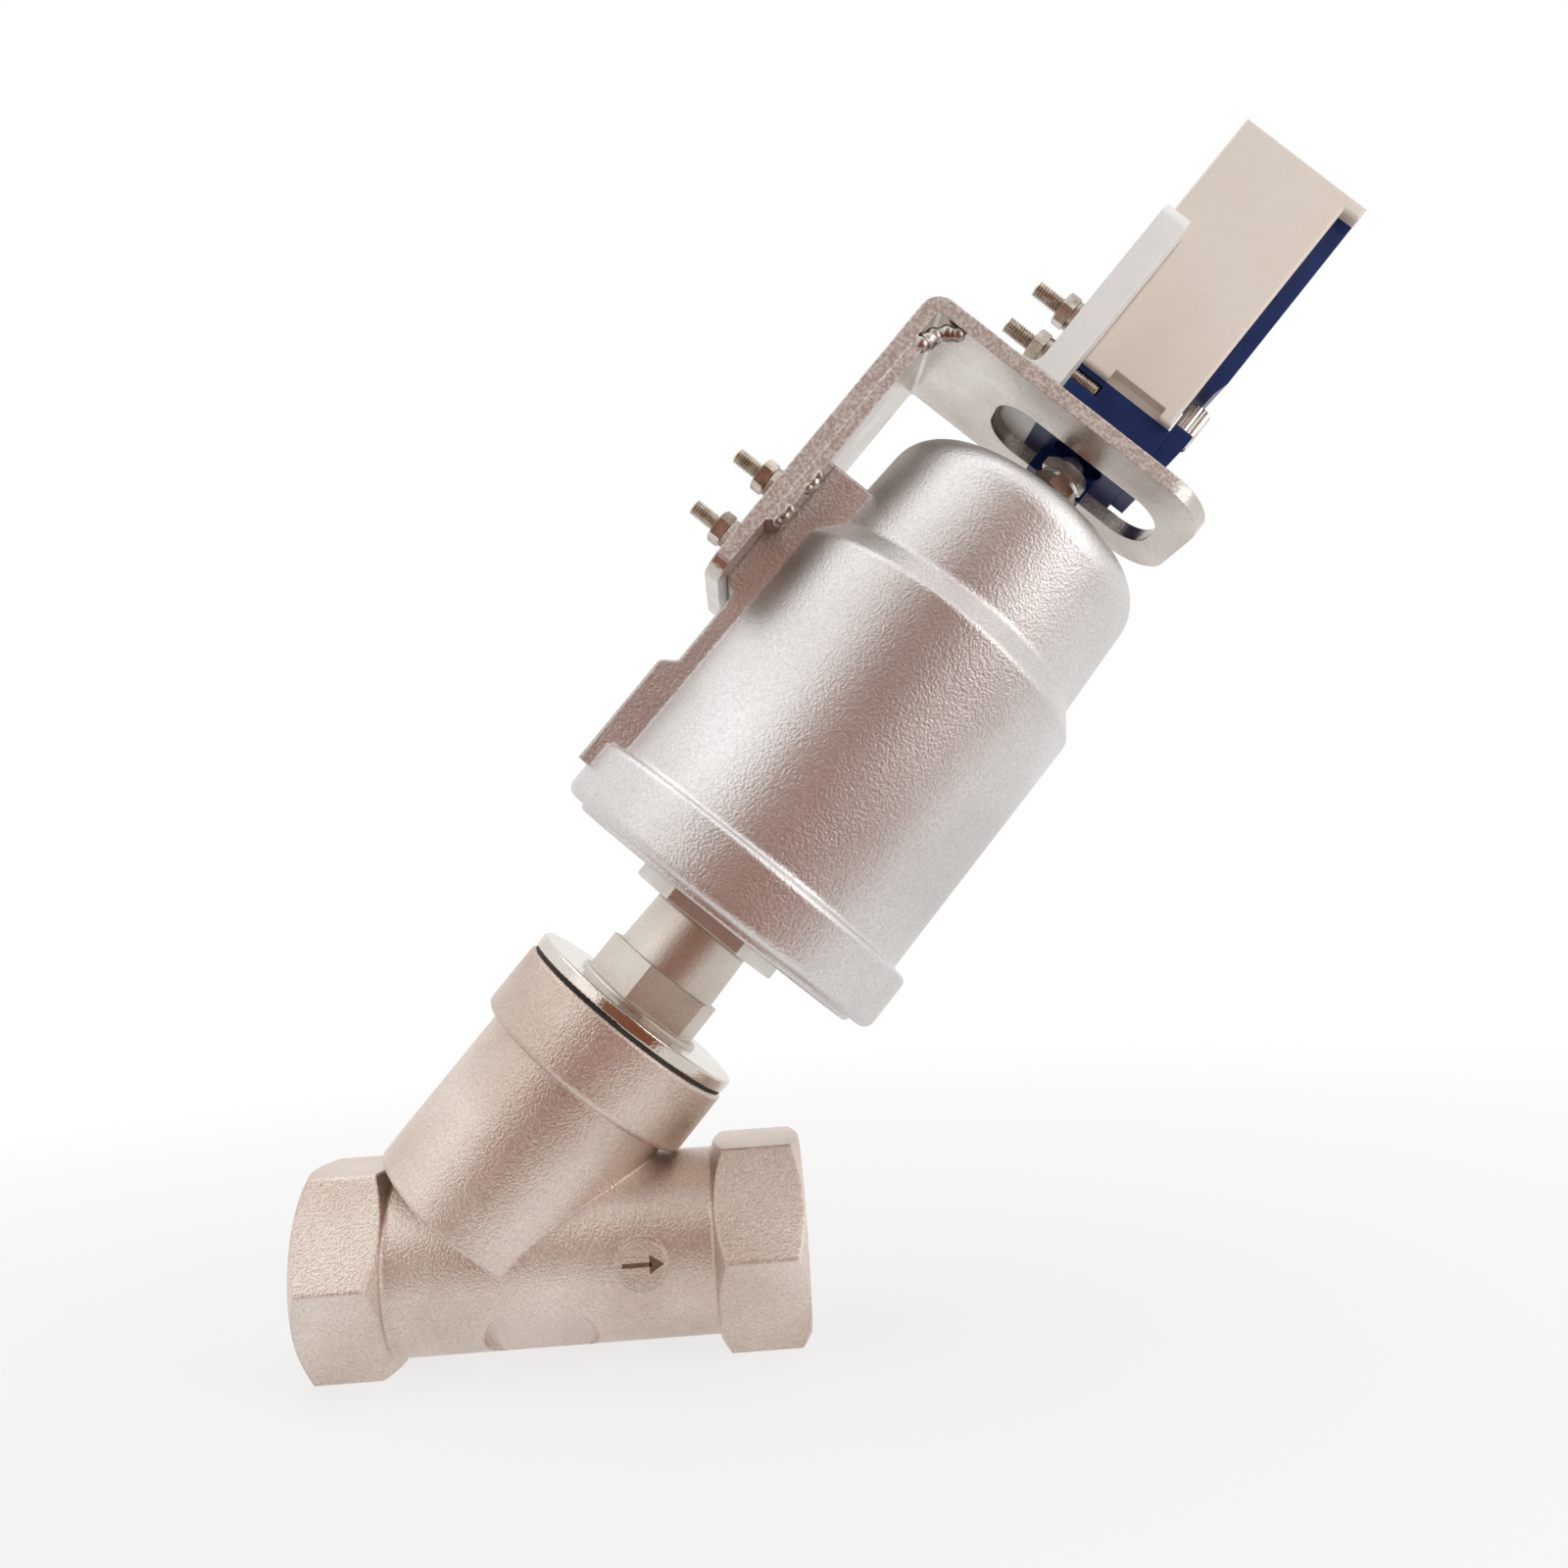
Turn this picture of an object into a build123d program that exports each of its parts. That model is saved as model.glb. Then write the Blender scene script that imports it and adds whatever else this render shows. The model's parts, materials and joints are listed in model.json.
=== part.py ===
from build123d import *
from math import cos, radians, sin, sqrt
import os

# Angle seat valve, DN25, single acting and closed by its spring, with a switch carried on a bracket.
# The origin is the centre of the inlet port. +X is the way of the flow and +Z is up.
# Heights along the stem are measured from the point where the stem axis meets the pipe axis.

# Running clearances and small fits
fit_gap = 0.05
slide_gap = 0.03

# Valve body: pipe run with two hexagon ends
face_to_face = 103.0
stem_tilt = 47.5
axis_x = 24.4
hex_af = 41.0
inlet_hex_len = 17.8
outlet_hex_len = 18.6
hex_corner_r = 1.2
hex_rim_step = 0.4
hex_rim_len = 2.2
barrel_step = 1.5
barrel_root_r = 0.8
bore_r = 14.0
port_minor_r = 15.15
port_depth = 17.0

# Valve body: branch with its seat
branch_foot = 11.3
branch_r = 22.75
collar_low = 49.0
collar_r = 25.9
collar_len = 15.3
collar_edge_r = 1.6
chamber_r = 19.0
web_t = 4.0
chamber_floor = 14.5
seat_bore_r = 12.0
seat_lip_w = 2.4
seat_lip_h = 2.0
seat_bore_depth = 20.0
bonnet_thread_r = 21.0
bonnet_thread_len = 14.0
flat_x = 48.0
flat_r = 11.5
flat_turn = 38.5
flat_depth = 1.6
arrow_boss_x = 69.6
arrow_boss_z = 0.4
arrow_boss_r = 5.2
arrow_boss_h = 0.7

# Bonnet with its gasket
gasket_t = 0.8
gasket_r = 25.2
bonnet_disc_r = 25.6
bonnet_disc_t = 2.9
bonnet_step_r = 15.2
bonnet_step_t = 0.8
bonnet_hex_af = 25.0
bonnet_hex_len = 8.7
bonnet_hex_turn = 18.0
neck_r = 12.2
neck_top_r = 11.8
neck_len = 12.5
neck_thread_r = 10.0
neck_thread_len = 12.0
spigot_end_gap = 0.3
stem_r = 5.0

# Stem packing
guide_bush_r = 7.2
guide_bush_len = 5.5
packing_r = 7.5
packing_floor = 57.0
packing_spring_len = 9.0
packing_wire = 1.1
packing_turns = 4
ring_t = 2.6
ring_vee = 0.9
ring_count = 4
follower_t = 3.0
gland_len = 8.0

# Lock nut and actuator base
lock_nut_af = 32.0
lock_nut_t = 3.4
base_r = 37.0
base_t = 11.5
base_hub_r = 12.0
base_hub_h = 6.0
base_groove_w = 3.4
base_groove_d = 2.4
rod_groove_w = 2.6
rod_groove_d = 1.9

# Actuator housing
skirt_low = 94.6
skirt_len = 13.8
skirt_wall = 4.8
cylinder_r = 38.1
cylinder_top_r = 37.6
cylinder_top = 170.2
bevel_top = 176.0
bevel_top_r = 33.2
dome_r = 31.7
dome_top = 206.6
dome_edge_r = 8.8
piston_bore_r = 31.5
bore_top = 164.0
spring_bore_r = 26.5
roof_t = 5.3
roof_boss_r = 9.0
roof_boss_h = 6.0
roof_bore_r = 5.0

# Pad and lugs cast on the side of the housing
pad_half_w = 15.0
pad_rise = 0.9
pad_top = 184.8
low_lug_top = 130.5
low_lug_slope = 2.2
lug_rise = 4.1
high_lug_low = 151.0
air_port_r = 4.3
air_port_s = 118.6

# Piston and springs
stroke = 12.0
piston_gap = 2.0
piston_hub_r = 11.0
piston_web_t = 7.0
piston_web_low = 120.0
piston_rim_low = 123.0
piston_rim_top = 136.0
piston_rim_w = 4.5
piston_side_gap = 0.35
seal_low = 125.0
seal_w = 4.0
seal_depth = 3.4
band_low = 131.2
band_w = 2.6
band_depth = 1.6
outer_spring_r = 23.4
outer_wire = 3.6
outer_turns = 7
inner_spring_r = 15.0
inner_wire = 2.8
inner_turns = 8

# Stem and plug
stem_thread_r = 4.0
stem_low = 5.8
plug_nut_af = 13.0
plug_nut_t = 6.5
plug_washer_r = 10.8
plug_washer_t = 2.6
seat_disc_r = 14.6
seat_disc_t = 3.6
seat_close_gap = 0.1
plug_holder_r = 16.0
plug_holder_t = 4.0
plug_boss_r = 8.0
plug_boss_h = 4.5
stem_seal_t = 1.6
piston_nut_af = 13.0
piston_nut_t = 6.5
stem_tip_h = 2.0

# Indicator rod that comes out at the top
rod_r = 3.0
rod_spigot_r = 1.6
rod_spigot_len = 6.0
rod_seal_t = 1.9
trip_nut_af = 10.0
trip_nut_t = 3.2
trip_nut_low = 214.6
flag_t = 1.0
flag_foot_w = 4.0
flag_back = 9.4

# Bracket: one bent plate with a brace and an upright
plate_t = 3.5
plate_low = 221.9
bracket_w = 45.0
bracket_shift = 2.0
leg_low = 147.8
leg_corner_r = 6.0
bend_r = 1.0
plate_reach = -30.3
plate_corner_r = 12.0
slot_w = 21.5
slot_in = 21.6
slot_out = -23.5
slot_corner_r = 8.0
brace_t = 2.6
brace_w = 8.5
brace_low = 163.6
brace_top = 214.9
brace_slope = 2.0
upright_u = 12.6
upright_t = 6.4
upright_w = 39.0
upright_top = 273.7
upright_corner_r = 4.0
weld_size = 3.0

# Fasteners: M4 studs, nuts and washers
m4_r = 2.0
m4_nut_af = 7.0
m4_nut_t = 3.2
m4_washer_r = 4.4
m4_washer_t = 0.9
m4_lock_r = 3.6
m4_lock_t = 1.2
pad_stud_s = 161.8
pad_stud_pitch = 15.4
pad_stud_end = 60.8
pad_stud_depth = 9.0
tab_stud_s = 236.75
tab_stud_pitch = 10.85
tab_stud_w = 8.0
tab_stud_end = 31.4
tab_stud_depth = 7.0

# Switch on the plate
can_low = 239.6
can_top = 308.4
can_in = -11.7
can_half_w = 11.5
can_step = 274.5
can_head_out = 18.2
can_side_low = 304.9
can_side_t = 4.0
can_notch_w = 14.0
can_notch_h = 2.6
can_notch_u = -1.3
can_notch_d = 3.0
can_edge_r = 0.8
base_front = 9.5
base_back = 11.5
base_in = -12.4
well_r = 6.5
well_top = 237.8
well_end_gap = 0.8
prong_front = 6.3
prong_back = 10.3
prong_low = 220.2
near_prong = 1.8
near_prong_w = 6.5
far_prong = -1.0
far_prong_w = 5.3
arm_low = 253.7
arm_half_w = 8.0
arm_t = 4.0
arm_heel = 4.0
screw_r = 2.8
screw_low = 242.7
screw_len = 9.6
foot_t = 4.6
clamp_screw_r = 2.6
clamp_screw_h = 2.2
clamp_screw_gap = 0.1

# Directions and planes
stem_dir = Vector(cos(radians(stem_tilt)), 0, sin(radians(stem_tilt)))
across_dir = Vector(-sin(radians(stem_tilt)), 0, cos(radians(stem_tilt)))
stem_foot = Vector(axis_x, 0, 0)
stem_axis = Axis(origin=stem_foot, direction=stem_dir)
across_axis = Axis(origin=stem_foot, direction=across_dir)
stem_base = Plane(origin=stem_foot, x_dir=across_dir, z_dir=stem_dir)
profile = Plane(origin=stem_foot, x_dir=across_dir, z_dir=(0, 1, 0))


def station(height):
    """The plane across the stem at a height: its x is away from the outlet, its y is to the front."""
    return stem_base.offset(height)


def front(width):
    """The plane along the stem, a width in front of it: its x is away from the outlet, its y is up."""
    return profile.offset(-width)


def facing(out):
    """The plane that faces away from the outlet: its x is up the stem, its y is to the back."""
    return Plane(origin=stem_foot + across_dir * out, x_dir=stem_dir, z_dir=across_dir)


def turned(points, radii=0):
    """A turned piece from its half section, given as (radius, height) points."""
    with BuildPart() as blank:
        with BuildSketch(profile):
            with BuildLine():
                FilletPolyline(*points, radius=radii, close=True)
            make_face()
        revolve(axis=stem_axis)
    return blank.part


def ring(inner, outer, low, high):
    """A plain ring or bush about the stem axis."""
    return turned([(inner, low), (outer, low), (outer, high), (inner, high)])


def coil(mean_r, wire, low, high, turns, lefthand=False):
    """A round wire coil that stands between two seats on the stem axis."""
    rise = high - low - wire
    helix = Helix(pitch=rise / turns, height=rise, radius=mean_r, lefthand=lefthand)
    path = station(low + wire / 2) * helix
    start = Plane(origin=path @ 0, z_dir=path % 0)
    with BuildPart() as blank:
        with BuildSketch(start):
            Circle(wire / 2)
        sweep(path=path)
    return blank.part


# Heights and radii that follow from the sizes above
barrel_r = hex_af / 2 - barrel_step
hex_tip_r = hex_af / sqrt(3)
skirt_r = base_r + skirt_wall
pad_out = cylinder_r + pad_rise
lug_out = cylinder_r + lug_rise
collar_top = collar_low + collar_len
disc_low = collar_top + gasket_t
disc_top = disc_low + bonnet_disc_t
step_top = disc_top + bonnet_step_t
bonnet_hex_top = step_top + bonnet_hex_len
neck_top = bonnet_hex_top + neck_len
thread_top = neck_top + neck_thread_len
spigot_low = collar_top - bonnet_thread_len + spigot_end_gap
base_low = neck_top + lock_nut_t
base_top = base_low + base_t
hub_top = base_top + base_hub_h
skirt_top = skirt_low + skirt_len
roof_low = dome_top - roof_t
seat_top = chamber_floor + seat_lip_h
rod_top = well_top - stroke - well_end_gap
flag_top = rod_top

# Pipe run: a round barrel between two cast hexagon ends, the rims of the ends turned to a chamfer
hex_ends = []
for mouth, inward, hex_len in ((0, 1, inlet_hex_len), (face_to_face, -1, outlet_hex_len)):
    with BuildPart() as hex_end:
        with BuildSketch(Plane.YZ.offset(mouth)):
            RegularPolygon(hex_af / 2, 6, major_radius=False)
        extrude(amount=inward * hex_len)
        fillet(hex_end.edges().filter_by(Axis.X), hex_corner_r)
        with BuildSketch(Plane.XZ):
            with BuildLine():
                Polyline(
                    (mouth, 0),
                    (mouth, hex_af / 2 - hex_rim_step),
                    (mouth + inward * hex_rim_len, hex_tip_r),
                    (mouth + inward * (hex_len - hex_rim_len), hex_tip_r),
                    (mouth + inward * hex_len, hex_af / 2 - hex_rim_step),
                    (mouth + inward * hex_len, 0),
                    close=True,
                )
            make_face()
        revolve(axis=Axis.X, mode=Mode.INTERSECT)
    hex_ends.append(hex_end.part)

with BuildPart() as pipe_run:
    with BuildSketch(Plane.YZ):
        Circle(barrel_r)
    extrude(amount=face_to_face)
    add(hex_ends)
    inlet_root = inlet_hex_len
    outlet_root = face_to_face - outlet_hex_len
    roots = pipe_run.edges().filter_by(GeomType.CIRCLE).filter_by(
        lambda e: abs(e.radius - barrel_r) < 0.01
        and (abs(e.center().X - inlet_root) < 0.01 or abs(e.center().X - outlet_root) < 0.01)
    )
    fillet(roots, barrel_root_r)
    for side in (-1, 1):
        flat_dir = Vector(0, side * sin(radians(flat_turn)), -cos(radians(flat_turn)))
        flat_foot = Vector(flat_x, 0, 0) + flat_dir * (barrel_r - flat_depth)
        with BuildSketch(Plane(origin=flat_foot, x_dir=(1, 0, 0), z_dir=flat_dir)):
            Circle(flat_r)
        extrude(amount=2 * flat_depth, mode=Mode.SUBTRACT)

# Hollows of the body: the inlet way runs under the web, the outlet way above it
with BuildPart() as inlet_way:
    with BuildSketch(Plane.YZ):
        Circle(bore_r)
    extrude(amount=face_to_face)
    split(bisect_by=station(chamber_floor - web_t), keep=Keep.BOTTOM)

with BuildPart() as outlet_way:
    with BuildSketch(Plane.YZ):
        Circle(bore_r)
    extrude(amount=face_to_face)
    split(bisect_by=station(chamber_floor), keep=Keep.TOP)

with BuildPart() as valve_body:
    add(pipe_run.part)
    with BuildSketch(station(branch_foot)):
        Circle(branch_r)
    extrude(amount=collar_top - branch_foot)
    add(
        turned(
            [(0, collar_low), (collar_r, collar_low), (collar_r, collar_top), (0, collar_top)],
            [0, collar_edge_r, collar_edge_r / 2, 0],
        )
    )
    with BuildSketch(Plane.XZ.offset(barrel_r - 1)):
        with Locations((arrow_boss_x, arrow_boss_z)):
            Circle(arrow_boss_r)
    extrude(amount=1 + arrow_boss_h)
    add(inlet_way.part, mode=Mode.SUBTRACT)
    add(outlet_way.part, mode=Mode.SUBTRACT)
    with BuildSketch(station(chamber_floor)):
        Circle(chamber_r)
        Circle(seat_bore_r + seat_lip_w, mode=Mode.SUBTRACT)
    extrude(amount=seat_lip_h, mode=Mode.SUBTRACT)
    with BuildSketch(station(seat_top)):
        Circle(chamber_r)
    extrude(amount=collar_top - seat_top, mode=Mode.SUBTRACT)
    with BuildSketch(station(seat_top)):
        Circle(seat_bore_r)
    extrude(amount=-seat_bore_depth, mode=Mode.SUBTRACT)
    with BuildSketch(station(collar_top)):
        Circle(bonnet_thread_r)
    extrude(amount=-bonnet_thread_len, mode=Mode.SUBTRACT)
    with BuildSketch(Plane.YZ):
        Circle(port_minor_r)
    extrude(amount=port_depth, mode=Mode.SUBTRACT)
    with BuildSketch(Plane.YZ.offset(face_to_face)):
        Circle(port_minor_r)
    extrude(amount=-port_depth, mode=Mode.SUBTRACT)

# Gasket and bonnet, the bonnet screwed into the branch
bonnet_gasket = ring(bonnet_thread_r + fit_gap, gasket_r, collar_top, disc_low)

with BuildPart() as bonnet:
    add(
        turned(
            [
                (0, spigot_low),
                (bonnet_thread_r - fit_gap, spigot_low),
                (bonnet_thread_r - fit_gap, disc_low),
                (bonnet_disc_r, disc_low),
                (bonnet_disc_r, disc_top),
                (bonnet_step_r, disc_top),
                (bonnet_step_r, step_top),
                (neck_r, step_top),
                (neck_r, bonnet_hex_top),
                (neck_top_r, neck_top),
                (neck_thread_r, neck_top),
                (neck_thread_r, thread_top),
                (0, thread_top),
            ],
            [0, 1, 0, 0.4, 0.6, 0, 0.4, 0, 0, 0.6, 0, 0.8, 0],
        )
    )
    with BuildSketch(station(disc_top)):
        RegularPolygon(bonnet_hex_af / 2, 6, major_radius=False, rotation=bonnet_hex_turn)
    extrude(amount=bonnet_hex_top - disc_top)
    with BuildSketch(station(spigot_low)):
        Circle(guide_bush_r)
    extrude(amount=guide_bush_len, mode=Mode.SUBTRACT)
    with BuildSketch(station(spigot_low)):
        Circle(stem_r + 4 * fit_gap)
    extrude(amount=thread_top - spigot_low, mode=Mode.SUBTRACT)
    with BuildSketch(station(packing_floor)):
        Circle(packing_r)
    extrude(amount=thread_top - packing_floor, mode=Mode.SUBTRACT)

# Stem packing, from the inside out
guide_bush = ring(stem_r + slide_gap, guide_bush_r - slide_gap, spigot_low, spigot_low + guide_bush_len)
packing_spring_top = packing_floor + packing_spring_len
packing_spring = coil(
    (stem_r + packing_r) / 2, packing_wire, packing_floor, packing_spring_top, packing_turns
)
vee_r = (stem_r + packing_r) / 2
packing_in = stem_r + slide_gap
packing_out = packing_r - slide_gap
vee_low = packing_spring_top + follower_t
packing_follower = turned(
    [
        (packing_in, packing_spring_top),
        (packing_out, packing_spring_top),
        (packing_out, vee_low),
        (vee_r, vee_low + ring_vee),
        (packing_in, vee_low),
    ]
)
ring_solids = []
for number in range(ring_count):
    ring_low = vee_low + number * ring_t
    ring_solids.append(
        turned(
            [
                (packing_in, ring_low),
                (vee_r, ring_low + ring_vee),
                (packing_out, ring_low),
                (packing_out, ring_low + ring_t),
                (vee_r, ring_low + ring_t + ring_vee),
                (packing_in, ring_low + ring_t),
            ]
        )
    )
packing_rings = Compound(children=ring_solids)
gland_low = vee_low + ring_count * ring_t
gland_bush = turned(
    [
        (packing_in, gland_low),
        (vee_r, gland_low + ring_vee),
        (packing_out, gland_low),
        (packing_out, gland_low + gland_len),
        (packing_in, gland_low + gland_len),
    ]
)

# Lock nut under the actuator base
with BuildPart() as lock_nut:
    with BuildSketch(station(neck_top)):
        RegularPolygon(lock_nut_af / 2, 6, major_radius=False)
        Circle(neck_thread_r + fit_gap, mode=Mode.SUBTRACT)
    extrude(amount=lock_nut_t)
    fillet(lock_nut.faces().sort_by(stem_axis)[0].outer_wire().edges(), 0.5)

# Actuator base, screwed on the neck and into the skirt of the housing
groove_mid = base_low + base_t / 2 + 1
base_plate = turned(
    [
        (neck_thread_r + fit_gap, base_low),
        (base_r, base_low),
        (base_r, groove_mid - base_groove_w / 2),
        (base_r - base_groove_d, groove_mid - base_groove_w / 2),
        (base_r - base_groove_d, groove_mid + base_groove_w / 2),
        (base_r, groove_mid + base_groove_w / 2),
        (base_r, base_top),
        (base_hub_r, base_top),
        (base_hub_r, hub_top),
        (stem_r + slide_gap, hub_top),
        (stem_r + slide_gap, hub_top - 1.5),
        (stem_r + rod_groove_d, hub_top - 1.5),
        (stem_r + rod_groove_d, hub_top - 1.5 - rod_groove_w),
        (stem_r + slide_gap, hub_top - 1.5 - rod_groove_w),
        (stem_r + slide_gap, thread_top + fit_gap),
        (neck_thread_r + fit_gap, thread_top + fit_gap),
    ],
    [0, 0.8] + [0] * 6 + [1.5] + [0] * 7,
)
base_o_ring = ring(
    base_r - base_groove_d,
    base_r + slide_gap,
    groove_mid - base_groove_w / 2 + 0.2,
    groove_mid + base_groove_w / 2 - 0.2,
)
stem_seal = ring(
    stem_r + slide_gap,
    stem_r + rod_groove_d,
    hub_top - 1.5 - rod_groove_w + 0.2,
    hub_top - 1.5 - 0.2,
)

# Actuator housing: a cast cup with a wide lower and a narrow upper cylinder
with BuildPart() as actuator_housing:
    add(
        turned(
            [
                (0, skirt_low),
                (skirt_r, skirt_low),
                (skirt_r, skirt_top),
                (cylinder_r, skirt_top),
                (cylinder_top_r, cylinder_top),
                (bevel_top_r, bevel_top),
                (dome_r, dome_top),
                (0, dome_top),
            ],
            [0, 2.5, 1.5, 1.2, 2.0, 2.5, dome_edge_r, 0],
        )
    )
    with BuildSketch(front(pad_half_w)):
        with BuildLine():
            FilletPolyline(
                (0, skirt_top - skirt_len / 2),
                (lug_out, skirt_top - skirt_len / 2),
                (lug_out, low_lug_top - low_lug_slope),
                (pad_out, low_lug_top),
                (pad_out, high_lug_low - low_lug_slope),
                (lug_out, high_lug_low),
                (lug_out, pad_top),
                (0, pad_top),
                radius=[0, 0, 1.5, 1.0, 1.0, 1.0, 3.0, 0],
                close=True,
            )
        make_face()
    extrude(amount=2 * pad_half_w)
    add(
        turned(
            [
                (0, skirt_low - 1),
                (base_r + fit_gap, skirt_low - 1),
                (base_r + fit_gap, base_top),
                (piston_bore_r, base_top),
                (piston_bore_r, bore_top),
                (spring_bore_r, bore_top + piston_bore_r - spring_bore_r),
                (spring_bore_r, roof_low),
                (roof_boss_r, roof_low),
                (roof_boss_r, roof_low - roof_boss_h),
                (0, roof_low - roof_boss_h),
            ],
            [0, 0, 0, 0, 0, 0, 1.0, 0, 0, 0],
        ),
        mode=Mode.SUBTRACT,
    )
    with BuildSketch(station(dome_top)):
        Circle(roof_bore_r)
    extrude(amount=-(roof_t + roof_boss_h), mode=Mode.SUBTRACT)
    with BuildSketch(facing(lug_out)):
        with Locations((air_port_s, 0)):
            Circle(air_port_r)
    extrude(amount=-(lug_out - piston_bore_r / 2), mode=Mode.SUBTRACT)
    with BuildSketch(facing(lug_out)):
        with Locations((pad_stud_s, 0), (pad_stud_s + pad_stud_pitch, 0)):
            Circle(m4_r + fit_gap)
    extrude(amount=-pad_stud_depth, mode=Mode.SUBTRACT)

# Bush and seal that lead the indicator rod through the roof
rod_bush_low = roof_low - roof_boss_h + rod_seal_t
rod_bush = ring(rod_r + slide_gap, roof_bore_r - slide_gap, rod_bush_low, dome_top - 0.6)
rod_seal = ring(rod_r + slide_gap, roof_bore_r - slide_gap, roof_low - roof_boss_h, rod_bush_low)

# Stem with the plug at its foot
disc_low_s = seat_top + seat_close_gap
disc_top_s = disc_low_s + seat_disc_t
holder_top = disc_top_s + plug_holder_t + plug_boss_h
washer_low = disc_low_s - plug_washer_t
nut_low = washer_low - plug_nut_t
piston_web_top = piston_web_low + piston_web_t
piston_hub_low = hub_top + piston_gap
stem_tip = piston_web_top + piston_nut_t + stem_tip_h

stem = turned(
    [
        (0, stem_low),
        (stem_thread_r, stem_low),
        (stem_thread_r, holder_top),
        (stem_r, holder_top),
        (stem_r, piston_hub_low),
        (stem_thread_r, piston_hub_low),
        (stem_thread_r, stem_tip),
        (rod_spigot_r + fit_gap, stem_tip),
        (rod_spigot_r + fit_gap, stem_tip - rod_spigot_len - 1),
        (0, stem_tip - rod_spigot_len - 1),
    ],
    [0, 0.6, 0, 0.5, 0.5, 0, 0.6, 0, 0, 0],
)
plug_holder = turned(
    [
        (stem_thread_r + fit_gap, disc_top_s),
        (seat_disc_r + fit_gap, disc_top_s),
        (seat_disc_r + fit_gap, disc_low_s + 0.8),
        (plug_holder_r, disc_low_s + 0.8),
        (plug_holder_r, disc_top_s + plug_holder_t),
        (plug_boss_r, disc_top_s + plug_holder_t),
        (plug_boss_r, holder_top),
        (stem_thread_r + fit_gap, holder_top),
    ],
    [0, 0, 0, 0.4, 1.5, 1.0, 0.8, 0],
)
seat_disc = ring(stem_thread_r + fit_gap, seat_disc_r, disc_low_s, disc_top_s)
plug_washer = turned(
    [
        (stem_thread_r + fit_gap, washer_low),
        (plug_washer_r - 2.0, washer_low),
        (plug_washer_r, disc_low_s),
        (stem_thread_r + fit_gap, disc_low_s),
    ]
)
with BuildPart() as plug_nut:
    with BuildSketch(station(nut_low)):
        RegularPolygon(plug_nut_af / 2, 6, major_radius=False)
        Circle(stem_thread_r + fit_gap, mode=Mode.SUBTRACT)
    extrude(amount=plug_nut_t)

# Piston, with its lip seal, guide band and nut
rim_r = piston_bore_r - piston_side_gap
piston = turned(
    [
        (stem_thread_r + fit_gap, piston_hub_low + stem_seal_t),
        (stem_r + 1.6, piston_hub_low + stem_seal_t),
        (stem_r + 1.6, piston_hub_low),
        (piston_hub_r, piston_hub_low),
        (piston_hub_r, piston_web_low),
        (rim_r - piston_rim_w, piston_web_low),
        (rim_r, piston_rim_low),
        (rim_r, seal_low),
        (rim_r - seal_depth, seal_low),
        (rim_r - seal_depth, seal_low + seal_w),
        (rim_r, seal_low + seal_w),
        (rim_r, band_low),
        (rim_r - band_depth, band_low),
        (rim_r - band_depth, band_low + band_w),
        (rim_r, band_low + band_w),
        (rim_r, piston_rim_top),
        (rim_r - piston_rim_w, piston_rim_top),
        (rim_r - piston_rim_w, piston_web_top),
        (stem_thread_r + fit_gap, piston_web_top),
    ],
    [0, 0, 0, 0.8, 2.0, 0, 0.5] + [0] * 8 + [0.5, 0.8, 1.5, 0],
)
stem_o_ring = ring(stem_thread_r + fit_gap, stem_r + 1.6, piston_hub_low, piston_hub_low + stem_seal_t)
seal_out = piston_bore_r - slide_gap
piston_seal = turned(
    [
        (rim_r - seal_depth + fit_gap, seal_low + fit_gap),
        (rim_r - 1.2, seal_low + fit_gap),
        (rim_r - 1.2, seal_low + seal_w / 2),
        (seal_out - 0.5, seal_low + fit_gap),
        (seal_out, seal_low + 0.6),
        (seal_out, seal_low + seal_w - fit_gap),
        (rim_r - seal_depth + fit_gap, seal_low + seal_w - fit_gap),
    ]
)
piston_guide_band = ring(rim_r - band_depth, seal_out, band_low + fit_gap, band_low + band_w - fit_gap)
with BuildPart() as piston_nut:
    with BuildSketch(station(piston_web_top)):
        RegularPolygon(piston_nut_af / 2, 6, major_radius=False)
        Circle(stem_thread_r + fit_gap, mode=Mode.SUBTRACT)
    extrude(amount=piston_nut_t)

# Two closing springs, wound opposite ways, between the piston and the roof
main_spring_outer = coil(outer_spring_r, outer_wire, piston_web_top, roof_low, outer_turns)
main_spring_inner = coil(inner_spring_r, inner_wire, piston_web_top, roof_low, inner_turns, lefthand=True)

# Indicator rod with the nuts and the flag that the switch watches
indicator_rod = turned(
    [
        (0, stem_tip - rod_spigot_len),
        (rod_spigot_r, stem_tip - rod_spigot_len),
        (rod_spigot_r, stem_tip),
        (rod_r, stem_tip),
        (rod_r, rod_top),
        (0, rod_top),
    ],
    [0, 0.3, 0, 0.4, 0.5, 0],
)
flag_low = trip_nut_low + trip_nut_t
with BuildPart() as trip_nuts:
    with BuildSketch(station(trip_nut_low)):
        RegularPolygon(trip_nut_af / 2, 6, major_radius=False, rotation=12)
        Circle(rod_r + fit_gap, mode=Mode.SUBTRACT)
    extrude(amount=trip_nut_t)
    with BuildSketch(station(flag_low + flag_t)):
        RegularPolygon(trip_nut_af / 2, 6, major_radius=False, rotation=12)
        Circle(rod_r + fit_gap, mode=Mode.SUBTRACT)
    extrude(amount=trip_nut_t)

prong_gap_mid = (near_prong + far_prong) / 2
with BuildPart() as trip_flag:
    with BuildSketch(station(flag_low)):
        Circle(trip_nut_af / 2)
        with Locations((prong_gap_mid, -flag_back / 2)):
            Rectangle(flag_foot_w / 2, flag_back)
        Circle(rod_r + fit_gap, mode=Mode.SUBTRACT)
    extrude(amount=flag_t)
    with BuildSketch(station(flag_low)):
        with Locations((prong_gap_mid, -(prong_front + flag_back) / 2)):
            Rectangle(flag_t, flag_back - prong_front)
    extrude(amount=flag_top - flag_low)

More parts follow.
